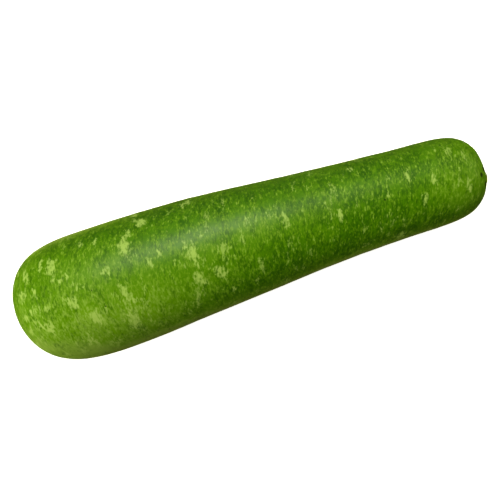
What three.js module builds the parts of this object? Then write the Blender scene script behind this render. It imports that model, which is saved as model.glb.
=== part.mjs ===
// A bottle gourd as picked, lying on its side. It is one whole fruit, with a full blossom end, a body
// that narrows past the middle to a thick neck, and the scar where the stem was cut off flush.
// Millimetres, +Z up. +X runs from the blossom end to the stem end. The origin is in the middle of
// the ground that the gourd covers, on the surface that it lies on.

import * as THREE from 'three';

// Driving dimensions

const LENGTH = 341.3; // from the blossom pole to the face of the stem scar

const BELLY_RADIUS = 45.6;
const STEADY_TAPER = 1.6; // what the radius loses evenly over the whole length

// The step down to the neck. Its place and its spread are shares of the length.
const WAIST = { narrowing: 14.2, at: 0.54, spread: 0.255 };

// How far each end's rounding reaches along the body, and how blunt it is, where 2 is an ellipse.
const BLOSSOM_END = { reach: 112, bluntness: 6 };
const STEM_END = { reach: 58, bluntness: 5.3 };

// How far the centre line strays towards +Y, as waves with one to five bends in the length.
const STRAY = [-0.3, -1.4, -1.2, -0.5, -0.45];

// The scar is a low round stub with a worn edge. It sits off the middle of the stem end.
const SCAR = { radius: 6.2, height: 2.5, edge: 1.3, offY: -3.9, offZ: -5.1, blend: 8 };

// The skin dips in a shallow ring around the scar.
const DIP = { width: 14, depth: 0.8 };

// The gourd lies on its belly and on its neck at this share of the length, and is pressed flat there.
const REST = { neck: 0.92, flattening: 0.6 };

const SIDES = 48;
const STEPS_ALONG = 66;

const SKIN_COLOUR = 0x587f17;
const SKIN_ROUGHNESS = 0.45;

// Worked out from the driving dimensions

const BODY_LENGTH = LENGTH - SCAR.height;
const { smoothstep } = THREE.MathUtils;

// Radius at a share of the length, before the two ends are rounded off.
function girth(share) {
  const step = (1 + Math.tanh((share - WAIST.at) / WAIST.spread)) / 2;
  return BELLY_RADIUS - STEADY_TAPER * share - WAIST.narrowing * step;
}

// What is left of the girth at a distance from the pole of a rounded end.
function rounding(distance, end) {
  return Math.sqrt(1 - Math.max(0, 1 - distance / end.reach) ** end.bluntness);
}

function radiusAt(along) {
  const toStemPole = BODY_LENGTH - along;
  return girth(along / BODY_LENGTH) * rounding(along, BLOSSOM_END) * rounding(toStemPole, STEM_END);
}

// How far below the stem pole the rounded end is as wide as this radius.
function stemEndDepth(radius) {
  const share = 1 - (radius / girth(1)) ** 2;
  return STEM_END.reach * (1 - share ** (1 / STEM_END.bluntness));
}

// How deep the ring around the scar is at this radius.
function dipAt(radius) {
  const middle = SCAR.radius + DIP.width / 2;
  const outer = SCAR.radius + DIP.width;
  return DIP.depth * smoothstep(radius, SCAR.radius, middle) * (1 - smoothstep(radius, middle, outer));
}

// Half of the gourd's outline, from the blossom pole to the middle of the scar. The steps are short
// near the poles, where the outline turns fast.
function outline() {
  const scarFoot = SCAR.radius + SCAR.edge;
  const points = [new THREE.Vector2(0, 0)];
  for (let i = 1; i < STEPS_ALONG; i++) {
    const along = (BODY_LENGTH * (1 - Math.cos((Math.PI * i) / STEPS_ALONG))) / 2;
    const radius = radiusAt(along);
    if (along < BODY_LENGTH / 2) {
      points.push(new THREE.Vector2(radius, along));
    } else if (radius > scarFoot + SCAR.edge) {
      points.push(new THREE.Vector2(radius, along - dipAt(radius)));
    }
  }
  points.push(
    new THREE.Vector2(scarFoot, BODY_LENGTH - stemEndDepth(scarFoot) - dipAt(scarFoot)),
    new THREE.Vector2(SCAR.radius, LENGTH - SCAR.height / 3),
    new THREE.Vector2(SCAR.radius - SCAR.edge, LENGTH),
    new THREE.Vector2(0, LENGTH),
  );
  return points;
}

// Sideways stray of the centre line at a share of the length.
function strayAt(share) {
  return STRAY.reduce((sum, width, i) => sum + width * Math.sin((i + 1) * Math.PI * share), 0);
}

// Moves every vertex by a rule that takes it and changes it in place.
function reshape(geometry, rule) {
  const position = geometry.getAttribute('position');
  const vertex = new THREE.Vector3();
  for (let i = 0; i < position.count; i++) {
    rule(vertex.fromBufferAttribute(position, i));
    position.setXYZ(i, vertex.x, vertex.y, vertex.z);
  }
}

// How much the radius falls, for each millimetre along, from where the belly touches to the neck.
function restingSlope() {
  const neck = REST.neck * BODY_LENGTH;
  const slopes = outline()
    .filter((point) => point.y < BODY_LENGTH / 2)
    .map((point) => (point.x - radiusAt(neck)) / (neck - point.y));
  return Math.max(...slopes);
}

function layOnItsSide(geometry) {
  geometry.rotateY(Math.atan(restingSlope()));
  geometry.computeBoundingBox();
  const { min, max } = geometry.boundingBox;
  geometry.translate(-(min.x + max.x) / 2, -(min.y + max.y) / 2, -min.z - REST.flattening);
}

function gourd() {
  const geometry = new THREE.LatheGeometry(outline(), SIDES);
  geometry.rotateZ(-Math.PI / 2);
  reshape(geometry, (vertex) => {
    const towardsScar = smoothstep(vertex.x, LENGTH - SCAR.blend, LENGTH);
    vertex.y += strayAt(vertex.x / LENGTH) + SCAR.offY * towardsScar;
    vertex.z += SCAR.offZ * towardsScar;
  });
  layOnItsSide(geometry);
  reshape(geometry, (vertex) => {
    vertex.z = Math.max(vertex.z, 0);
  });
  geometry.computeVertexNormals();

  const skin = new THREE.MeshStandardMaterial({
    color: SKIN_COLOUR,
    roughness: SKIN_ROUGHNESS,
    metalness: 0,
  });
  const mesh = new THREE.Mesh(geometry, skin);
  mesh.name = 'bottle_gourd';
  return mesh;
}

const part = new THREE.Group();
part.add(gourd());

export default part;
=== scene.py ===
"""A bottle gourd lying on its side: its grown shape, its mottled skin, and a plain studio around it."""

import math

import bmesh
import bpy
import numpy as np
from bpy.props import FloatProperty, FloatVectorProperty, IntProperty, PointerProperty
from mathutils import Matrix, Vector


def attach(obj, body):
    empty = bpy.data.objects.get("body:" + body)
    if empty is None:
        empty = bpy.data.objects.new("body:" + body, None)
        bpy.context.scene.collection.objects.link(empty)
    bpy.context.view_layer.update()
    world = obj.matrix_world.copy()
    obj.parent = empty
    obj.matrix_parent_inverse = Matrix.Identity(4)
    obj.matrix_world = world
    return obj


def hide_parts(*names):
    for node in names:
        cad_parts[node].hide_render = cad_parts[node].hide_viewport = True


bl_info = {
    "name": "Bottle Gourd",
    "version": (1, 0, 0),
    "blender": (4, 5, 0),
    "location": "View3D > Sidebar > Gourd",
    "description": "Grows a bottle gourd, paints its mottled skin and sets a studio around it",
    "category": "Object",
}

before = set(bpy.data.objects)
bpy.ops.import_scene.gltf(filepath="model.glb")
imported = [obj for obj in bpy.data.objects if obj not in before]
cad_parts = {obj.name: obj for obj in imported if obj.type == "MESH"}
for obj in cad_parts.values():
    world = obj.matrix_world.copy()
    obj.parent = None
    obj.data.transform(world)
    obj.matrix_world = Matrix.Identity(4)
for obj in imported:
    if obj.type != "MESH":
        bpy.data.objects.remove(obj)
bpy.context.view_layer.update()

FRUIT_NODE = "bottle_gourd"
SKIN_PIECE = "gourd_skin"
ROOT_BODY = "root"
MM = 0.001

# The fruit's shape

# How far the centre line strays towards +Y, as waves with one to five bends in the length.
STRAY_MM = (-0.3, -1.4, -1.2, -0.5, -0.45)

# Over how much of the stem end the skin is drawn off the middle, towards the scar.
SCAR_BLEND = 8 * MM

# The share of the length at which the neck touches the ground, and how soft a pressed strip's edge is.
NECK_REST = 0.92
PRESSED_EDGE = 0.3 * MM

# The stem's cut face is a little hollow, and the skin dips in a ring around it.
SCAR_DISH = 0.35 * MM
SCAR_MOAT = {"width": 14 * MM, "depth": 0.8 * MM}

# How the stub's outline departs from round: lobes, where they start, and share of the radius.
SCAR_LOBES = ((5, 0.4, 0.05), (2, 1.1, 0.04), (9, 2.0, 0.015))

# The dry tip of the flower, at the blossom pole, in its dimple.
TIP = {
    "radius": 2.2 * MM,
    "edge": 0.9 * MM,
    "height": 1.0 * MM,
    "dimple_radius": 10 * MM,
    "dimple_depth": 0.6 * MM,
}

# How the surface swells and sinks unevenly.
SWELLS = (
    {"size": 38 * MM, "height": 0.9 * MM, "seed": 3.1},
    {"size": 9 * MM, "height": 0.22 * MM, "seed": 8.4},
)

# Vertices that are nearer than this are the same one, on the seam and at the poles.
SAME_PLACE = 0.01 * MM

# How finely the outline is measured.
TILT_STEPS = 400
ARC_STEPS = 2000

# The skin's painted places

# Attributes that the grown surface carries for its skin.
GROWN = "grown"
BLOTCH = "blotch"
SHADE = "shade"
YOUNG_AND_RIM_LIT = "young"
SCAR = "scar"

# Pale blotches on the side that faces up and forward. Their places were read by eye off the photograph,
# and a helper program turned most of them into these terms: millimetres from the blossom pole along
# the skin, degrees around from the far side over the top, half width along, half length around, how
# strong each one is, and for some by how many degrees it leans away from the blossom end.
BLOTCHES = (
    (32, 200, 2.4, 4.0, 0.80), (34, 98, 1.8, 3.0, 0.75), (35, 188, 2.4, 3.6, 0.85),
    (38, 176, 2.2, 4.0, 0.85), (39, 84, 2.0, 3.0, 0.75), (41, 140, 3.6, 2.0, 0.70),
    (41, 154, 2.0, 4.2, 0.85), (42, 138, 2.0, 3.4, 0.80), (43, 114, 4.4, 3.0, 0.75),
    (43, 120, 2.2, 3.0, 0.75), (44, 165, 2.4, 3.6, 0.80), (48, 96, 2.9, 5.0, 0.70),
    (48, 98, 2.0, 3.6, 0.80), (48, 143, 2.3, 2.0, 0.70), (48, 161, 3.9, 2.5, 0.60),
    (49, 132, 3.4, 2.3, 0.85), (53, 148, 4.3, 3.1, 0.85), (54, 118, 1.9, 4.1, 0.85),
    (57, 188, 2.6, 3.4, 0.75), (58, 152, 2.5, 4.6, 0.85), (59, 134, 2.2, 2.5, 0.75),
    (61, 95, 2.0, 5.1, 0.90), (68, 100, 3.0, 8.8, 1.00, 6), (68, 192, 2.0, 4.4, 0.70),
    (73, 114, 1.9, 3.0, 0.85), (77, 135, 3.0, 4.9, 1.00), (77, 172, 3.0, 6.6, 0.75),
    (78, 112, 1.7, 3.4, 0.85), (80, 121, 2.4, 2.6, 0.60), (80, 177, 2.0, 4.1, 0.60),
    (85, 124, 2.7, 1.8, 0.55), (88, 84, 1.8, 3.5, 0.70), (88, 153, 3.4, 5.2, 1.00, 12),
    (91, 186, 3.5, 6.2, 0.60), (98, 87, 1.7, 3.6, 0.80), (101, 119, 2.0, 2.3, 0.75),
    (103, 118, 1.8, 3.2, 0.85), (108, 136, 2.8, 3.7, 0.85), (108, 167, 3.3, 7.6, 1.00),
    (109, 138, 2.6, 4.6, 0.90, 12), (110, 147, 2.8, 2.9, 0.65), (113, 147, 1.6, 5.4, 0.85, 20),
    (117, 102, 4.2, 7.8, 1.00), (118, 152, 1.8, 3.3, 0.60), (119, 153, 1.5, 3.6, 0.80, 20),
    (119, 154, 2.9, 4.1, 0.60), (120, 91, 1.9, 3.7, 0.80), (129, 122, 1.6, 2.5, 0.70),
    (130, 82, 3.3, 4.7, 0.85), (130, 124, 2.2, 2.8, 0.85), (137, 120, 1.5, 2.2, 0.85),
    (145, 130, 1.1, 1.6, 0.70), (149, 81, 1.4, 2.5, 0.70), (153, 116, 1.7, 2.0, 0.65),
    (156, 153, 2.9, 6.2, 0.95, 24), (157, 129, 3.2, 8.6, 1.00, 18), (158, 72, 1.8, 3.4, 0.80),
    (165, 114, 0.9, 3.3, 0.70), (169, 112, 1.1, 3.0, 0.70), (170, 152, 3.2, 6.0, 0.95, 22),
    (175, 176, 1.7, 2.6, 0.80), (196, 113, 1.8, 2.8, 0.65), (197, 129, 1.2, 2.3, 0.60),
    (197, 155, 1.5, 2.5, 0.60), (210, 111, 2.4, 2.0, 0.55), (220, 124, 2.6, 4.6, 0.85),
    (223, 184, 2.1, 3.7, 0.55), (230, 164, 1.7, 4.4, 0.65), (246, 72, 2.9, 3.5, 0.65),
    (248, 121, 1.1, 3.0, 0.75), (255, 136, 2.2, 5.0, 0.90), (256, 136, 1.7, 4.5, 0.75),
    (269, 187, 2.2, 3.0, 0.80), (272, 84, 2.4, 3.4, 0.65), (280, 167, 1.0, 5.1, 0.60),
    (289, 130, 1.0, 2.8, 0.65), (306, 114, 2.5, 3.8, 0.70), (306, 115, 2.2, 3.8, 0.80),
    (311, 150, 1.6, 4.6, 0.75), (312, 148, 2.8, 3.1, 0.60), (321, 128, 2.6, 3.9, 0.85),
    (329, 85, 1.3, 2.3, 0.60), (336, 96, 1.0, 2.7, 0.60), (339, 126, 1.4, 1.3, 0.65),
    (343, 152, 2.6, 3.6, 0.85),
)

# Nearly all of the placed blotches lie between these bearings.
PLACED_FROM, PLACED_TO = 68, 192

# The rest of the way around is sown at random. Each measure is its least value and what chance may add
# to it. The chance of the way is raised to the crowding, which brings more blotches near the pole.
SOWN = {
    "seed": 7,
    "count": 90,
    "way": (28, 325),
    "crowding": 1.5,
    "strength": (0.6, 0.4),
    "half_width": (1.3, 2.4),
    "stretch": (1.1, 0.9),
}

# Places where the green is deeper, in the same terms as the blotches. Some are real darker patches; the
# long bands near 80 degrees on the top and near 165 to 182 degrees on the lower side are painted shade,
# which darkens the skin where the light falls off.
DEEP_AND_SHADED_PLACES = (
    (58, 112, 12, 9, 0.50), (130, 78, 60, 10, 0.50), (140, 176, 34, 9, 0.40), (147, 78, 9, 7, 0.90),
    (159, 94, 5, 4, 0.80), (178, 90, 14, 6, 0.80), (190, 172, 34, 9, 0.60), (200, 80, 60, 10, 0.60),
    (215, 166, 34, 9, 0.70), (216, 142, 26, 9, 0.20), (230, 116, 14, 6, 0.40),
    (230, 150, 24, 8, 0.30), (250, 168, 40, 9, 0.50), (268, 134, 26, 9, 0.70),
    (268, 165, 60, 9, 0.40), (270, 82, 50, 10, 0.60), (275, 182, 60, 6, 0.60),
    (280, 92, 7, 5, 0.90), (285, 146, 26, 10, 0.50), (318, 100, 30, 20, 0.40),
    (322, 80, 24, 7, 0.50), (340, 90, 26, 8, 0.30),
)

# Places where the skin is lighter and limier, in the same terms. Some are real lighter skin; others are
# painted light: the bands near 212 to 222 degrees along the fruit and near 55 and 196 degrees at the
# blossom end lie on the rims of the outline and paint the light that those rims catch, and some places on
# the front of the blossom end are painted light where it is lit more brightly. Above a strength of 1 the
# skin is as pale as where it lay on the ground: on the underside near 250 degrees that is the real ground
# side, on the rims it is painted rim light.
YOUNG_AND_RIM_LIT_PLACES = (
    (40, 92, 16, 20, 0.50), (50, 20, 36, 36, 0.70), (50, 190, 46, 46, 1.00), (55, 55, 60, 10, 1.70),
    (55, 196, 44, 26, 1.70), (60, 270, 40, 40, 0.90), (80, 140, 44, 30, 0.60),
    (82, 155, 16, 14, 1.10), (100, 172, 44, 28, 1.00), (100, 212, 95, 15, 2.00),
    (106, 134, 26, 14, 0.50), (110, 250, 40, 30, 0.70), (120, 250, 110, 28, 2.00),
    (150, 164, 40, 16, 0.30), (160, 320, 40, 24, 0.50), (165, 132, 26, 8, 0.35),
    (198, 128, 14, 8, 0.40), (250, 217, 110, 12, 1.60), (260, 125, 40, 9, 0.30),
    (290, 250, 70, 18, 1.70), (330, 300, 30, 26, 0.50), (340, 130, 20, 24, 0.45),
)

# Tiny dark marks: millimetres from the blossom pole along the skin, degrees around, and radius.
MARKS = (
    (68, 300, 0.6), (91, 130, 0.5), (96, 146, 0.6), (131, 20, 0.5), (139, 91, 0.5), (204, 250, 0.6),
    (280, 98, 0.5), (281, 84, 0.5), (286, 135, 0.7), (355, 142, 2.1), (359, 161, 2.5), (360, 135, 2.3),
)

# A mark is full inside the first share of its radius and gone past the second.
MARK_EDGE = (0.5, 1.1)

# How the places' outlines wander, first along the fruit and then around it. Each has the size of its
# waves and four ways that set their length, measured along and around a fruit of an even radius.
WOBBLES = (
    (1.1 * MM, 2.3 * MM, 1.7 * MM, 3.1 * MM, 1.3 * MM),
    (1.6 * MM, 1.1 * MM, 2.9 * MM, 1.9 * MM, 2.1 * MM),
)
WOBBLE_RADIUS = 40 * MM

# A place fades out at this many times its half size.
PLACE_REACH = 1.5

# The scar's attribute falls from 1 in its middle to 0 at this many of its radii.
SCAR_REACH = 4

# The skin's grains and layers

# Noise that the skin is painted with: features in a metre along the fruit and around it, a seed, and
# how detailed, rough and twisted it is.
GRAINS = {
    "fine": (1000, 450, 1.3, {"Detail": 2.0, "Roughness": 0.6, "Distortion": 0.3}),
    "dashes": (480, 200, 4.1, {"Detail": 3.0, "Roughness": 0.6, "Distortion": 0.5}),
    "dark_dashes": (640, 270, 6.4, {"Detail": 3.0, "Roughness": 0.65, "Distortion": 0.4}),
    "mottle": (110, 60, 7.7, {"Detail": 4.0, "Roughness": 0.65, "Distortion": 0.4}),
    "freckles": (190, 75, 5.5, {"Detail": 3.0, "Roughness": 0.65}),
    "broad": (26, 20, 2.9, {"Detail": 2.0}),
    "speckle": (1500, 900, 9.2, {"Detail": 1.0}),
}
GRAIN_MIDDLE = 0.5

# Near the poles the dashes give way to rounder grains, over these ways along the skin. There a grain is
# as fine around the fruit as this share of how fine it is along it.
BLOSSOM_POLE = (12 * MM, 46 * MM)
STEM_POLE = (10 * MM, 36 * MM)
POLE_ROUNDNESS = 0.8

# Towards the stem the dashes lean off the rings: how far along they run for each way across.
LEAN_FORWARD, LEAN_UP = 0.24, 0.22

# Layers of the skin: how much each grain and each painted place counts in a layer, and the sums at
# which it starts and at which it is full. "youth" is how young the skin is, up to 1, which on the rims
# is painted rim light, and "out" is the way in millimetres from the fruit's middle line.
LAYERS = {
    # The ground layer is the pale underside and also painted rim light along the rims of the outline.
    "ground": ({"young": 1.0, "mottle": 0.8}, (1.3, 1.9)),
    "ripe": ({"broad": 0.5, "mottle": 0.5}, (0.44, 0.60)),
    "deep": ({"mottle": 0.4, "dark_dashes": 0.6, "shade": 0.06, "youth": -0.035}, (0.45, 0.60)),
    "pale": ({"fine": 0.6, "dashes": 0.4, "youth": 0.03, "shade": -0.03}, (0.46, 0.62)),
    "blotched": ({"blotch": 1.3, "dashes": 3.0, "fine": 2.6}, (3.15, 4.35)),
    "freckled": ({"freckles": 1.0, "fine": 0.4, "youth": 0.03}, (0.80, 0.93)),
    "off_tip": ({"out": 1.0, "dashes": 2.0}, (2.8, 4.0)),
    "off_tip_halo": ({"out": 1.0, "mottle": 8.0}, (6.0, 12.0)),
    "cut_face": ({"scar": 1.0, "dashes": 0.04}, (0.75, 0.80)),
    "scar_halo": ({"scar": 1.0, "mottle": 0.5}, (0.55, 1.00)),
    "rim_specks": ({"speckle": 1.0}, (0.45, 0.60)),
    "vessel_specks": ({"speckle": 1.0}, (0.48, 0.56)),
}

# How much of what lies under it each layer hides where it is full.
COVER = {
    "youth": 0.72,
    "ground": 0.75,
    "ripe": 0.4,
    "deep": 0.72,
    "shade": 0.25,
    "pale": 0.58,
    "blotched": 0.86,
    "freckled": 0.6,
    "tip_halo": 0.45,
    "tip": 0.9,
    "scar_halo": 0.5,
    "cut_face": 0.85,
    "vessels": 0.5,
    "marks": 0.95,
    "rim": 0.6,
}

# On young skin the deep mottling covers less, and the pale dashes turn towards the blotches' colour.
DEEP_LOST_TO_YOUTH = 0.1
PALER_BY_YOUTH = 0.55

# The tip's colours are kept to the blossom end. The vessels lie in a ring in the cut face, given in
# millimetres from the fruit's middle line, and the rim's specks in a ring given like a layer's edge.
BLOSSOM_SIDE = (20 * MM, 22 * MM)
VESSEL_RING = (2.6, 5.0)
RIM_RING = ({"scar": 1.0, "mottle": 0.12}, (0.74, 0.84))

# How unevenly the skin shines and how its fine relief is made up.
ROUGHNESS_SPREAD = {"dashes": 0.14, "mottle": 0.12}
CUT_FACE_ROUGHNESS = 0.2
RELIEF = {"fine": 0.35, "dashes": 0.5, "mottle": 0.8, "speckle": 0.15}
CUT_FACE_RELIEF = 2.0
RELIEF_DEPTH = 0.15 * MM

# The studio

# Where the lights hang, and the spot that they and the camera are aimed at, in metres.
LEFT_PLACE = (-2.00, -0.75, 0.85)
RIGHT_PLACE = (2.20, -0.40, 1.05)
BACK_PLACE = (0.30, 2.00, 0.70)
STRIP_PLACE = (0.07, -0.10, 1.0)
AIM = (-0.004, 0.0, 0.0325)

FLOOR_ROUGHNESS = 0.9

# The camera's sensor, in millimetres, and the nearest thing that it can see.
SENSOR_WIDTH = 36
NEAREST_SEEN = 10 * MM


class Wire:
    """A node's output that arithmetic can be written with. Each operator adds one Math node."""

    def __init__(self, graph, socket):
        self.graph = graph
        self.socket = socket

    def __add__(self, other):
        return self.graph.math("ADD", self, other)

    __radd__ = __add__

    def __sub__(self, other):
        return self.graph.math("SUBTRACT", self, other)

    def __rsub__(self, other):
        return self.graph.math("SUBTRACT", other, self)

    def __mul__(self, other):
        return self.graph.math("MULTIPLY", self, other)

    __rmul__ = __mul__

    def __truediv__(self, other):
        return self.graph.math("DIVIDE", self, other)

    def __rtruediv__(self, other):
        return self.graph.math("DIVIDE", other, self)

    def __pow__(self, other):
        return self.graph.math("POWER", self, other)

    def __neg__(self):
        return self.graph.math("MULTIPLY", self, -1.0)

    def at_least(self, other):
        return self.graph.math("MAXIMUM", self, other)

    def at_most(self, other):
        return self.graph.math("MINIMUM", self, other)

    def rises(self, low, high):
        """0 below low, 1 above high, and a smooth rise between."""
        sockets = {"Value": self, "From Min": low, "From Max": high}
        return self.graph.add("ShaderNodeMapRange", {"interpolation_type": "SMOOTHSTEP"}, sockets, "Result")


class Graph:
    """Builds a node tree out of wires."""

    # A Mix node's sockets for two colours and their share, which have the names of its other sockets.
    MIX_SHARE, MIX_FIRST, MIX_SECOND, MIX_RESULT = 0, 6, 7, 2

    def __init__(self, tree):
        self.tree = tree

    def add(self, kind, settings=None, sockets=None, out=0):
        """Adds a node, sets it up, fills its sockets, and gives the wire of one of its outputs."""
        node = self.tree.nodes.new(kind)
        for name, value in (settings or {}).items():
            setattr(node, name, value)
        for key, value in (sockets or {}).items():
            self.fill(node.inputs[key], value)
        return Wire(self, node.outputs[out]) if len(node.outputs) else None

    def fill(self, socket, value):
        if isinstance(value, Wire):
            self.tree.links.new(value.socket, socket)
        else:
            socket.default_value = value

    def outputs_of(self, wire):
        """Wires of all the outputs of a wire's node, by name."""
        return {socket.name: Wire(self, socket) for socket in wire.socket.node.outputs}

    def math(self, operation, *values):
        return self.add("ShaderNodeMath", {"operation": operation}, dict(enumerate(values)))

    def vector(self, operation, *values):
        out = "Value" if operation in ("LENGTH", "DISTANCE") else "Vector"
        return self.add("ShaderNodeVectorMath", {"operation": operation}, dict(enumerate(values)), out)

    def combine(self, x, y, z):
        return self.add("ShaderNodeCombineXYZ", None, {"X": x, "Y": y, "Z": z})

    def separate(self, vector):
        """The three parts of a vector."""
        return list(self.outputs_of(self.add("ShaderNodeSeparateXYZ", None, {0: vector})).values())

    def blend(self, share, first, second):
        """The second colour over the first, by share."""
        sockets = {self.MIX_SHARE: share, self.MIX_FIRST: first, self.MIX_SECOND: second}
        return self.add("ShaderNodeMix", {"data_type": "RGBA"}, sockets, self.MIX_RESULT)

    def attribute(self, name, out="Fac"):
        return self.add("ShaderNodeAttribute", {"attribute_name": name}, out=out)


def metres(name, description, value):
    return FloatProperty(name=name, description=description, default=value, unit="LENGTH", precision=5)


def number(name, description, value):
    return FloatProperty(name=name, description=description, default=value, precision=4)


def degrees(name, description, value):
    return FloatProperty(name=name, description=description, default=math.radians(value), subtype="ANGLE")


def watts(name, description, value):
    return FloatProperty(name=name, description=description, default=value, unit="POWER", min=0.0)


def tint(name, description, value):
    """A colour property. The value is given as on a screen, from 0 to 255, and kept as linear light."""
    linear = [((c / 255 + 0.055) / 1.055) ** 2.4 if c > 10 else c / 255 / 12.92 for c in value]
    return FloatVectorProperty(name=name, description=description, default=linear, subtype="COLOR", size=3,
                               min=0.0, max=1.0)


class GourdForm(bpy.types.PropertyGroup):
    """Sizes of the grown fruit."""

    length: metres("Length", "From the blossom pole to the face of the stem scar", 0.3413)
    belly_radius: metres("Belly radius", "Radius at the full blossom end", 0.0456)
    steady_taper: metres("Steady taper", "What the radius loses evenly over the whole length", 0.0016)
    waist_narrowing: metres("Waist narrowing", "The step in radius down to the neck", 0.0142)
    waist_at: number("Waist place", "Share of the length at which the step is halfway", 0.54)
    waist_spread: number("Waist spread", "Share of the length that the step is spread over", 0.255)
    blossom_reach: metres("Blossom end reach", "How far the blossom end's rounding reaches", 0.112)
    blossom_bluntness: number("Blossom end bluntness", "2 is an ellipse, more is blunter", 6.0)
    stem_reach: metres("Stem end reach", "How far the stem end's rounding reaches", 0.058)
    stem_bluntness: number("Stem end bluntness", "2 is an ellipse, more is blunter", 5.3)
    scar_radius: metres("Scar radius", "Radius of the stem scar", 0.0062)
    scar_height: metres("Scar height", "How far the stem scar stands proud", 0.0025)
    scar_edge: metres("Scar edge", "Width of the scar's worn edge", 0.0013)
    scar_forward: metres("Scar forward", "How far the scar sits forward of the middle", 0.0039)
    scar_drop: metres("Scar drop", "How far the scar sits below the middle", 0.0051)
    flattening: metres("Flattening", "How deep the underside is pressed flat", 0.0006)
    rings: IntProperty(name="Rings", description="Rings of faces from pole to pole", default=500, min=20)
    sides: IntProperty(name="Sides", description="Faces around the fruit", default=184, min=8)


class GourdSkin(bpy.types.PropertyGroup):
    """Colours and finish of the skin."""

    mid_green: tint("Mid green", "The skin's main green", (63, 108, 0))
    deep_green: tint("Deep green", "The darker mottling", (34, 76, 0))
    ripe_green: tint("Ripe green", "The yellower places", (82, 122, 6))
    # This lighter green also paints the light on the rims, where the young places lie along the outline.
    young_green: tint("Young green", "Places that stayed lighter", (99, 141, 4))
    # Painted rim light as well as the pale ground side: this green also covers the bands along the rims.
    ground_green: tint("Ground green", "The paler side that lay on the ground", (132, 159, 72))
    dash_green: tint("Dash green", "The fine dashes across", (107, 147, 20))
    blotch_green: tint("Blotch green", "The pale blotches", (147, 175, 88))
    scar_colour: tint("Scar", "The cut face of the stem", (158, 170, 78))
    halo_colour: tint("Halo", "The yellowed skin around the stem's cut face", (122, 128, 14))
    tip_colour: tint("Dry tip", "The dry tip of the flower at the blossom end", (84, 68, 34))
    mark_colour: tint("Marks", "The tiny dark marks", (22, 34, 6))
    roughness: number("Roughness", "Roughness of the skin on average", 0.42)
    shine: number("Shine", "Strength of the skin's mirror-like shine", 0.22)
    relief: number("Relief", "Strength of the fine relief", 0.35)
    sheen: number("Sheen", "Strength of the dusty bloom towards the rims", 0.05)
    sheen_roughness: number("Sheen roughness", "How far the bloom spreads from the rims", 0.3)
    sheen_colour: tint("Sheen colour", "Colour of the bloom", (255, 205, 140))


class GourdStudio(bpy.types.PropertyGroup):
    """The floor, the lights and the camera."""

    floor_size: metres("Floor size", "Width of the floor", 12.0)
    wall_height: metres("Wall height", "Height of the pale walls around the floor", 8.0)
    floor_colour: tint("Floor colour", "Colour of the floor", (250, 250, 250))
    floor_glow: number("Floor glow", "Light that the floor gives off by itself", 0.9)
    softbox_size: metres("Softbox size", "Width of the three square softboxes", 1.6)
    left_power: watts("Left power", "Power of the softbox beyond the blossom end", 70.0)
    right_power: watts("Right power", "Power of the softbox beyond the stem end", 38.0)
    back_power: watts("Back power", "Power of the softbox behind the fruit", 12.0)
    softbox_colour: tint("Softbox colour", "Colour of the softboxes", (255, 253, 205))
    strip_length: metres("Strip length", "Size of the overhead strip light along the fruit", 0.40)
    strip_width: metres("Strip width", "Size of the overhead strip light across the fruit", 0.26)
    strip_power: watts("Strip power", "Power of the overhead strip light", 6.7)
    strip_colour: tint("Strip colour", "Colour of the overhead strip light", (255, 253, 226))
    fill: number("Fill", "Brightness of the room around", 0.065)
    fill_colour: tint("Fill colour", "Colour of the room around", (218, 250, 110))
    lens: number("Lens", "Focal length in millimetres, on a 36 mm sensor", 38.0)
    distance: metres("Distance", "From the camera to what it is aimed at", 0.3768)
    azimuth: degrees("Azimuth", "Turn of the view around the fruit, from the front", 4.0)
    elevation: degrees("Elevation", "Height of the view above level", 48.0)
    roll: degrees("Roll", "Turn of the camera about its own axis", 22.8)


def radius_at(form, along):
    """Radius of the body at a distance from the blossom pole, as numbers."""
    body = form.length - form.scar_height
    share = along / body
    step = (1 + np.tanh((share - form.waist_at) / form.waist_spread)) / 2
    girth = form.belly_radius - form.steady_taper * share - form.waist_narrowing * step
    for distance, reach, bluntness in (
        (along, form.blossom_reach, form.blossom_bluntness),
        (body - along, form.stem_reach, form.stem_bluntness),
    ):
        girth = girth * np.sqrt(1 - np.maximum(0, 1 - distance / reach) ** bluntness)
    return girth


def resting_tilt(form):
    """How far the nose dips when the belly and the neck lie on the same surface."""
    body = form.length - form.scar_height
    neck = NECK_REST * body
    along = np.linspace(0, body / 2, TILT_STEPS)
    slopes = (radius_at(form, along) - radius_at(form, np.array([neck]))) / (neck - along)
    return math.atan(slopes.max())


def arc_table(form):
    """Distances from the blossom pole straight along, the radius there, and the way along the skin."""
    body = form.length - form.scar_height
    along = body * (1 - np.cos(np.linspace(0, np.pi, ARC_STEPS))) / 2
    radius = radius_at(form, along)
    steps = np.hypot(np.diff(along), np.diff(radius))
    return along, radius, np.concatenate(([0.0], np.cumsum(steps)))


def titled(form):
    """Each size of a property group with its title, as the body's node tree names its inputs."""
    return {form.bl_rna.properties[key].name: getattr(form, key) for key in type(form).__annotations__}


def bump_between(wire, low, high):
    """0 outside low and high, and a smooth hump of 1 between them."""
    middle = (low + high) / 2
    return wire.rises(low, middle) * (1 - wire.rises(middle, high))


def rounding(graph, distance, reach, bluntness):
    """What is left of the girth at a distance from the pole of a rounded end."""
    inward = (1 - distance / reach).at_least(0.0)
    return graph.math("SQRT", (1 - inward ** bluntness).at_least(0.0))


def drawn_radius(graph, given, along, body, share):
    """Radius of the body at a distance from the blossom pole, which is a share of the body, as wires."""
    step = (graph.math("TANH", (share - given["Waist place"]) / given["Waist spread"]) + 1) / 2
    girth = given["Belly radius"] - given["Steady taper"] * share - given["Waist narrowing"] * step
    radius = girth * rounding(graph, along, given["Blossom end reach"], given["Blossom end bluntness"])
    return radius * rounding(graph, body - along, given["Stem end reach"], given["Stem end bluntness"])


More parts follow.
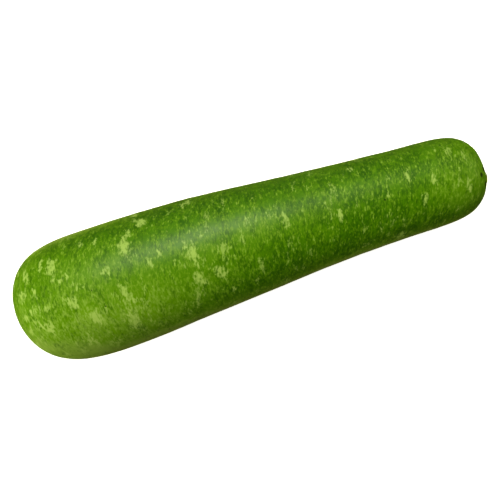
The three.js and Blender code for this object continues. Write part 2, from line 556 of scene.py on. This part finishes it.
def pole_lift(graph, given, radius, turn, share):
    """How far the surface stands out along the fruit at its two ends: the scar and the dry tip."""
    edge, foot = given["Scar edge"], given["Scar radius"]
    wavy = 1.0
    for lobes, start, size in SCAR_LOBES:
        wavy = wavy + graph.math("SINE", turn * lobes + start) * size
    stub = radius * wavy
    on_scar = 1 - stub.rises(foot - edge, foot + edge)
    dish = 1 - stub.rises(0.0, foot - edge)
    moat = bump_between(stub, foot, foot + SCAR_MOAT["width"])
    scar = on_scar * given["Scar height"] - dish * SCAR_DISH - moat * SCAR_MOAT["depth"]

    tip = 1 - radius.rises(TIP["radius"] - TIP["edge"], TIP["radius"] + TIP["edge"])
    dimple = 1 - radius.rises(TIP["radius"], TIP["dimple_radius"])
    stem_half = graph.math("GREATER_THAN", share, 0.5)
    return stem_half * scar + (1 - stem_half) * (dimple * TIP["dimple_depth"] - tip * TIP["height"])


def swell(graph, surface):
    """Moves a surface in and out a little, unevenly."""
    place = graph.add("GeometryNodeInputPosition")
    uneven = 0.0
    for swelling in SWELLS:
        noise = graph.add("ShaderNodeTexNoise", {"noise_dimensions": "4D"}, {
            "Vector": place, "W": swelling["seed"], "Scale": 1 / swelling["size"], "Detail": 1.0,
        })
        uneven = uneven + (noise - GRAIN_MIDDLE) * swelling["height"]
    offset = graph.vector("MULTIPLY", graph.add("GeometryNodeInputNormal"), uneven)
    return graph.add("GeometryNodeSetPosition", None, {"Geometry": surface, "Offset": offset})


def lay_down(graph, given, surface):
    """Tilts the fruit until it lies on its belly and neck, centres it, and presses it flat there."""
    laid = graph.add("GeometryNodeTransform", None, {
        "Geometry": surface, "Rotation": graph.combine(0.0, given["Resting tilt"], 0.0),
    })
    box = graph.outputs_of(graph.add("GeometryNodeBoundBox", None, {"Geometry": laid}))
    low_x, low_y, low_z = graph.separate(box["Min"])
    high_x, high_y, _ = graph.separate(box["Max"])
    middle = graph.combine((low_x + high_x) / -2, (low_y + high_y) / -2, -low_z - given["Flattening"])
    centred = graph.add("GeometryNodeSetPosition", None, {"Geometry": laid, "Offset": middle})
    x, y, z = graph.separate(graph.add("GeometryNodeInputPosition"))
    pressed = graph.math("SMOOTH_MAX", z, 0.0, PRESSED_EDGE)
    return graph.add("GeometryNodeSetPosition", None, {
        "Geometry": centred, "Position": graph.combine(x, y, pressed),
    })


def body_tree(form):
    """The fruit's surface: a sheet rolled into rings, drawn along the outline and laid on its side."""
    tree = bpy.data.node_groups.new("gourd_body", "GeometryNodeTree")
    kinds = {name: "NodeSocketInt" if isinstance(value, int) else "NodeSocketFloat"
             for name, value in titled(form).items()}
    kinds.update({"Resting tilt": "NodeSocketFloat", "Skin": "NodeSocketMaterial"})
    for name, kind in kinds.items():
        tree.interface.new_socket(name=name, in_out="INPUT", socket_type=kind)
    tree.interface.new_socket(name="Gourd", in_out="OUTPUT", socket_type="NodeSocketGeometry")
    graph = Graph(tree)
    given = graph.outputs_of(graph.add("NodeGroupInput"))

    # The sheet is one metre wide both ways, around the origin, so its places are shares less a half.
    sheet = graph.add("GeometryNodeMeshGrid", None, {
        "Size X": 1.0, "Size Y": 1.0, "Vertices X": given["Rings"] + 1, "Vertices Y": given["Sides"] + 1,
    }, "Mesh")
    down, across, _ = graph.separate(graph.add("GeometryNodeInputPosition"))
    body = given["Length"] - given["Scar height"]
    along = body * (1 - graph.math("COSINE", (down + 0.5) * math.pi)) / 2
    turn = (across + 0.5) * math.tau
    share = along / body
    radius = drawn_radius(graph, given, along, body, share)
    x = along + pole_lift(graph, given, radius, turn, share)

    stray = 0.0
    for bends, width in enumerate(STRAY_MM, start=1):
        stray = stray + graph.math("SINE", x / given["Length"] * (bends * math.pi)) * (width * MM)
    shift = x.rises(given["Length"] - SCAR_BLEND, given["Length"])
    ring_y = radius * graph.math("COSINE", turn)
    ring_z = radius * graph.math("SINE", turn)
    y = stray + ring_y - shift * given["Scar forward"]
    z = ring_z - shift * given["Scar drop"]

    # The rings' own numbers are read from the flat sheet, so they are caught before it is drawn out.
    caught = graph.add("GeometryNodeStoreNamedAttribute", {"data_type": "FLOAT_VECTOR"}, {
        "Geometry": sheet, "Name": GROWN, "Value": graph.combine(along, ring_y, ring_z),
    })
    drawn = graph.add("GeometryNodeSetPosition", None, {
        "Geometry": caught, "Position": graph.combine(x, y, z),
    })
    closed = graph.add("GeometryNodeMergeByDistance", None, {"Geometry": drawn, "Distance": SAME_PLACE})
    settled = lay_down(graph, given, swell(graph, closed))
    smooth = graph.add("GeometryNodeSetShadeSmooth", None, {"Geometry": settled})
    real = graph.add("GeometryNodeRealizeInstances", None, {"Geometry": smooth})
    skinned = graph.add("GeometryNodeSetMaterial", None, {"Geometry": real, "Material": given["Skin"]})
    graph.add("NodeGroupOutput", None, {"Gourd": skinned})
    return tree


def set_inputs(modifier, values):
    """Sets a node modifier's inputs by their titles."""
    for item in modifier.node_group.interface.items_tree:
        if item.item_type == "SOCKET" and item.in_out == "INPUT":
            modifier[item.identifier] = values[item.name]


def plain_copy(thing):
    """The evaluated shape of an object as a mesh of its own, with the object's modifiers taken off."""
    graph = bpy.context.evaluated_depsgraph_get()
    graph.update()
    mesh = bpy.data.meshes.new_from_object(thing.evaluated_get(graph), depsgraph=graph)
    mesh.name = thing.name
    thing.modifiers.clear()
    thing.data = mesh
    return mesh


def face_outwards(mesh):
    """Turns the faces over when they enclose a negative volume."""
    shape = bmesh.new()
    shape.from_mesh(mesh)
    if shape.calc_volume(signed=True) < 0:
        bmesh.ops.reverse_faces(shape, faces=shape.faces)
    shape.to_mesh(mesh)
    shape.free()


def spots(places, arc, bearings, radius):
    """How deep each vertex is inside the nearest of the places: 0.5 on an edge, 1 well inside."""
    depth = np.zeros(len(arc))
    girth = np.radians(bearings) * WOBBLE_RADIUS
    past_more, round_more = (
        size * np.sin(arc / a + girth / b) * np.sin(arc / c - girth / d) for size, a, b, c, d in WOBBLES
    )
    for way, bearing, half_along, half_around, strength, *lean in places:
        leaning = math.radians(lean[0]) if lean else 0.0
        turn = (bearings - bearing + 180) % 360 - 180
        past = arc - way * MM + past_more
        round_it = np.radians(turn) * radius + round_more
        across = (past * math.cos(leaning) - round_it * math.sin(leaning)) / (half_along * MM)
        lengthwise = (past * math.sin(leaning) + round_it * math.cos(leaning)) / (half_around * MM)
        inside = np.clip(PLACE_REACH - np.hypot(across, lengthwise), 0, 1)
        depth = np.maximum(depth, strength * inside)
    return depth


def sown_blotches():
    """Blotches for the side away from the placed ones, with more of them near the blossom end."""
    dice = np.random.default_rng(SOWN["seed"])

    def drawn(measure, crowding=1, share=1):
        least, more = measure
        return least + more * dice.random() ** crowding * share

    sown = []
    for _ in range(SOWN["count"]):
        way = drawn(SOWN["way"], crowding=SOWN["crowding"])
        bearing = drawn((PLACED_TO, 360 - (PLACED_TO - PLACED_FROM))) % 360
        strength = drawn(SOWN["strength"])
        half_along = drawn(SOWN["half_width"], share=strength)
        half_around = half_along * drawn(SOWN["stretch"])
        sown.append((way, bearing, half_along, half_around, strength))
    return tuple(sown)


def paint(mesh, form):
    """Gives the surface its way along the skin, its blotches, its deep and young places and its scar."""
    grown = np.empty(len(mesh.vertices) * 3)
    mesh.attributes[GROWN].data.foreach_get("vector", grown)
    grown = grown.reshape(-1, 3)
    table_along, _, table_arc = arc_table(form)
    stem_side = grown[:, 0] > form.length / 2
    radius = np.hypot(grown[:, 1], grown[:, 2])
    bearings = np.degrees(np.arctan2(grown[:, 2], grown[:, 1]))
    grown[:, 0] = np.interp(grown[:, 0], table_along, table_arc)
    mesh.attributes[GROWN].data.foreach_set("vector", grown.ravel())

    lobes = sum(size * np.sin(np.radians(bearings) * count + start) for count, start, size in SCAR_LOBES)
    scar = np.where(stem_side, 1 - radius * (1 + lobes) / (form.scar_radius * SCAR_REACH), 0)
    # The shade attribute carries painted shade bands as well as darker patches, and the young one carries
    # painted rim light as well as lighter skin.
    places = {BLOTCH: BLOTCHES + sown_blotches(), SHADE: DEEP_AND_SHADED_PLACES, YOUNG_AND_RIM_LIT: YOUNG_AND_RIM_LIT_PLACES}
    painted = {name: spots(group, grown[:, 0], bearings, radius) for name, group in places.items()}
    painted[SCAR] = np.clip(scar, 0, 1)
    for name, values in painted.items():
        mesh.attributes.new(name, "FLOAT", "POINT").data.foreach_set("value", values)


def skin_grains(graph, way, y, z, form):
    """Every grain, laid along the fruit and around it, leaning near the stem and rounder near the poles."""
    skin_length = float(arc_table(form)[2][-1])
    polar = (1 - way.rises(*BLOSSOM_POLE)).at_least(1 - (skin_length - way).rises(*STEM_POLE))
    leant = way - (y * LEAN_FORWARD + z * LEAN_UP) * (way / skin_length)
    grains = {}
    for name, (along, around, seed, shape) in GRAINS.items():
        across = around + (along * POLE_ROUNDNESS - around) * polar
        place = graph.combine(leant * along, y * across, z * across)
        sockets = {"Vector": place, "W": seed, "Scale": 1.0, **shape}
        grains[name] = graph.add("ShaderNodeTexNoise", {"noise_dimensions": "4D"}, sockets)
    return grains


def weighed(known, weights):
    """The sum of the grains and painted places that are named, each times its weight."""
    return sum(known[name] * weight for name, weight in weights.items())


def layer(known, name):
    """One of the skin's layers: 0 where it is absent and 1 where it is full."""
    weights, edge = LAYERS[name]
    return weighed(known, weights).rises(*edge)


def green_skin(graph, known, paints):
    """The skin's colour from its main green up to the pale blotches."""
    youth = known["youth"]
    skin = graph.blend(youth * COVER["youth"], paints["mid_green"], paints["young_green"])
    # The palest green: the underside that lay on the ground, and painted rim light along the rims.
    skin = graph.blend(layer(known, "ground") * COVER["ground"], skin, paints["ground_green"])
    skin = graph.blend(layer(known, "ripe") * COVER["ripe"], skin, paints["ripe_green"])
    deep = layer(known, "deep") * (COVER["deep"] - youth * DEEP_LOST_TO_YOUTH)
    # The shade places add painted shade in bands on the top and the lower side, besides darker patches.
    deep = (deep + known["shade"] * COVER["shade"]).at_most(1.0)
    skin = graph.blend(deep, skin, paints["deep_green"])
    dash = graph.blend(youth * PALER_BY_YOUTH, paints["dash_green"], paints["blotch_green"])
    skin = graph.blend(layer(known, "pale") * COVER["pale"], skin, dash)
    blotched = layer(known, "blotched").at_most(COVER["blotched"])
    return graph.blend(blotched.at_least(layer(known, "freckled") * COVER["freckled"]), skin,
                       paints["blotch_green"])


def painted_ends(graph, known, paints, skin):
    """The skin with the dry tip at one end and the stem's cut face at the other."""
    blossom_side = 1 - known["way"].rises(*BLOSSOM_SIDE)
    tip_halo = blossom_side * (1 - layer(known, "off_tip_halo"))
    skin = graph.blend(tip_halo * COVER["tip_halo"], skin, paints["halo_colour"])
    tip = blossom_side * (1 - layer(known, "off_tip"))
    skin = graph.blend(tip * COVER["tip"], skin, paints["tip_colour"])
    skin = graph.blend(layer(known, "scar_halo") * COVER["scar_halo"], skin, paints["halo_colour"])
    skin = graph.blend(known["cut_face"] * COVER["cut_face"], skin, paints["scar_colour"])
    vessels = bump_between(known["out"], *VESSEL_RING) * known["cut_face"] * layer(known, "vessel_specks")
    return graph.blend(vessels * COVER["vessels"], skin, paints["deep_green"])


def dark_marks(graph, grown, form):
    """1 on the tiny dark marks."""
    _, radii, arcs = arc_table(form)
    marks = 0.0
    for way, bearing, size in MARKS:
        radius, turn = float(np.interp(way * MM, arcs, radii)), math.radians(bearing)
        centre = (way * MM, radius * math.cos(turn), radius * math.sin(turn))
        full, gone = (size * share * MM for share in MARK_EDGE)
        away = graph.vector("DISTANCE", grown, centre)
        marks = (1 - away.rises(full, gone)).at_least(marks)
    return marks


def skin_material(skin, form):
    """Mottled green skin: deep and mid green, fine pale dashes across, ragged blotches, and both ends."""
    material = bpy.data.materials.new("gourd_skin")
    material.use_nodes = True
    material.node_tree.nodes.clear()
    graph = Graph(material.node_tree)
    paints = {key: (*getattr(skin, key), 1.0) for key in type(skin).__annotations__
              if key.endswith(("green", "colour"))}

    grown = graph.attribute(GROWN, "Vector")
    way, y, z = graph.separate(grown)
    known = skin_grains(graph, way, y, z, form)
    known.update({name: graph.attribute(name) for name in (BLOTCH, SHADE, YOUNG_AND_RIM_LIT, SCAR)})
    known["way"] = way
    known["out"] = graph.vector("LENGTH", graph.combine(0.0, y, z)) / MM
    known["youth"] = known["young"].at_most(1.0)
    known["cut_face"] = layer(known, "cut_face")

    painted = painted_ends(graph, known, paints, green_skin(graph, known, paints))
    rim_weights, rim_edge = RIM_RING
    rim = bump_between(weighed(known, rim_weights), *rim_edge) * layer(known, "rim_specks")
    marks = (dark_marks(graph, grown, form) * COVER["marks"]).at_least(rim * COVER["rim"])
    painted = graph.blend(marks, painted, paints["mark_colour"])

    rough = skin.roughness + known["cut_face"] * CUT_FACE_ROUGHNESS
    for name, spread in ROUGHNESS_SPREAD.items():
        rough = rough + (known[name] - GRAIN_MIDDLE) * spread
    relief = weighed(known, RELIEF) + known["cut_face"] * known["speckle"] * CUT_FACE_RELIEF
    normal = graph.add("ShaderNodeBump", None, {
        "Strength": skin.relief, "Distance": RELIEF_DEPTH, "Height": relief,
    })
    shader = graph.add("ShaderNodeBsdfPrincipled", None, {
        "Base Color": painted, "Roughness": rough, "Normal": normal, "Specular IOR Level": skin.shine,
        "Sheen Weight": skin.sheen, "Sheen Roughness": skin.sheen_roughness,
        "Sheen Tint": paints["sheen_colour"],
    })
    graph.add("ShaderNodeOutputMaterial", None, {"Surface": shader})
    return material


class GOURD_OT_grow(bpy.types.Operator):
    """Grows the gourd, lays it on its side and paints its skin."""

    bl_idname = "gourd.grow"
    bl_label = "Grow Gourd"

    def execute(self, context):
        form, skin = context.scene.gourd_form, context.scene.gourd_skin
        fruit = bpy.data.objects.new(SKIN_PIECE, bpy.data.meshes.new(SKIN_PIECE))
        context.scene.collection.objects.link(fruit)
        modifier = fruit.modifiers.new("body", "NODES")
        modifier.node_group = body_tree(form)
        values = titled(form)
        values.update({"Resting tilt": resting_tilt(form), "Skin": skin_material(skin, form)})
        set_inputs(modifier, values)
        mesh = plain_copy(fruit)
        if not mesh.polygons:
            raise RuntimeError("the gourd's body came out empty")
        face_outwards(mesh)
        paint(mesh, form)
        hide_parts(FRUIT_NODE)
        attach(fruit, ROOT_BODY)
        return {"FINISHED"}


def lay_floor(scene, studio):
    """A floor with pale walls around it."""
    half, height = studio.floor_size / 2, studio.wall_height
    corners = [(x * half, y * half, z) for z in (0, height) for x, y in ((-1, -1), (1, -1), (1, 1), (-1, 1))]
    walls = [(i + 4, (i + 1) % 4 + 4, (i + 1) % 4, i) for i in range(4)]
    mesh = bpy.data.meshes.new("floor")
    mesh.from_pydata(corners, [], [(0, 1, 2, 3)] + walls)
    floor = bpy.data.objects.new("floor", mesh)
    scene.collection.objects.link(floor)
    material = bpy.data.materials.new("floor")
    material.use_nodes = True
    shader = material.node_tree.nodes["Principled BSDF"]
    shader.inputs["Base Color"].default_value = (*studio.floor_colour, 1.0)
    shader.inputs["Roughness"].default_value = FLOOR_ROUGHNESS
    shader.inputs["Emission Color"].default_value = (*studio.floor_colour, 1.0)
    shader.inputs["Emission Strength"].default_value = studio.floor_glow
    mesh.materials.append(material)
    # The floor throws no light back, so the fruit's lower side stays as dark as over a dark table.
    floor.visible_diffuse = False
    floor.visible_glossy = False


def hang_lights(scene, studio):
    """Three softboxes, which light the fruit without a mirror image, and a strip that shines on it."""
    softbox = (studio.softbox_size, studio.softbox_size, studio.softbox_colour, False)
    strip = (studio.strip_length, studio.strip_width, studio.strip_colour, True)
    for name, place, power, (width, depth, colour, shines) in (
        ("left softbox", LEFT_PLACE, studio.left_power, softbox),
        ("right softbox", RIGHT_PLACE, studio.right_power, softbox),
        ("back softbox", BACK_PLACE, studio.back_power, softbox),
        ("strip light", STRIP_PLACE, studio.strip_power, strip),
    ):
        light = bpy.data.lights.new(name, "AREA")
        light.shape = "RECTANGLE"
        light.size, light.size_y = width, depth
        light.energy = power
        light.color = colour
        lamp = bpy.data.objects.new(name, light)
        scene.collection.objects.link(lamp)
        lamp.visible_glossy = shines
        lamp.location = place
        aim = Vector(AIM) - Vector(place)
        lamp.rotation_euler = aim.to_track_quat("-Z", "Y").to_euler()


def fill_room(scene, studio):
    """The dim light that comes from all around."""
    world = bpy.data.worlds.new("studio")
    world.use_nodes = True
    sky = world.node_tree.nodes["Background"]
    sky.inputs["Color"].default_value = (*studio.fill_colour, 1.0)
    sky.inputs["Strength"].default_value = studio.fill
    scene.world = world
    scene.view_settings.view_transform = "Standard"


def aim_camera(scene, studio):
    """Puts the camera where the picture was taken from."""
    turn, height = studio.azimuth, studio.elevation
    back = Vector((math.sin(turn) * math.cos(height), -math.cos(turn) * math.cos(height), math.sin(height)))
    right = Vector((0, 0, 1)).cross(back).normalized()
    up = back.cross(right)
    rolled_right = right * math.cos(studio.roll) - up * math.sin(studio.roll)
    rolled_up = right * math.sin(studio.roll) + up * math.cos(studio.roll)
    facing = Matrix((rolled_right, rolled_up, back)).transposed().to_4x4()
    lens = bpy.data.cameras.new("camera")
    lens.lens = studio.lens
    lens.sensor_width = SENSOR_WIDTH
    lens.clip_start = NEAREST_SEEN
    camera = bpy.data.objects.new("camera", lens)
    scene.collection.objects.link(camera)
    camera.matrix_world = Matrix.Translation(Vector(AIM) + back * studio.distance) @ facing
    scene.camera = camera


class GOURD_OT_studio(bpy.types.Operator):
    """Sets the floor, the lights and the camera."""

    bl_idname = "gourd.studio"
    bl_label = "Set Studio"

    def execute(self, context):
        studio = context.scene.gourd_studio
        lay_floor(context.scene, studio)
        hang_lights(context.scene, studio)
        fill_room(context.scene, studio)
        aim_camera(context.scene, studio)
        return {"FINISHED"}


class GOURD_PT_panel(bpy.types.Panel):
    """Lists the gourd's sizes, colours and steps."""

    bl_idname = "GOURD_PT_panel"
    bl_label = "Bottle Gourd"
    bl_space_type = "VIEW_3D"
    bl_region_type = "UI"
    bl_category = "Gourd"

    def draw(self, context):
        scene = context.scene
        for operator, groups in (
            (GOURD_OT_grow, (scene.gourd_form, scene.gourd_skin)),
            (GOURD_OT_studio, (scene.gourd_studio,)),
        ):
            box = self.layout.box()
            box.operator(operator.bl_idname)
            for group in groups:
                for key in type(group).__annotations__:
                    box.prop(group, key)


CLASSES = (GourdForm, GourdSkin, GourdStudio, GOURD_OT_grow, GOURD_OT_studio, GOURD_PT_panel)


def register():
    for one in CLASSES:
        bpy.utils.register_class(one)
    bpy.types.Scene.gourd_form = PointerProperty(type=GourdForm)
    bpy.types.Scene.gourd_skin = PointerProperty(type=GourdSkin)
    bpy.types.Scene.gourd_studio = PointerProperty(type=GourdStudio)


def unregister():
    del bpy.types.Scene.gourd_studio
    del bpy.types.Scene.gourd_skin
    del bpy.types.Scene.gourd_form
    for one in reversed(CLASSES):
        bpy.utils.unregister_class(one)


def main():
    register()
    bpy.ops.gourd.grow()
    bpy.ops.gourd.studio()


if __name__ == "__main__":
    main()
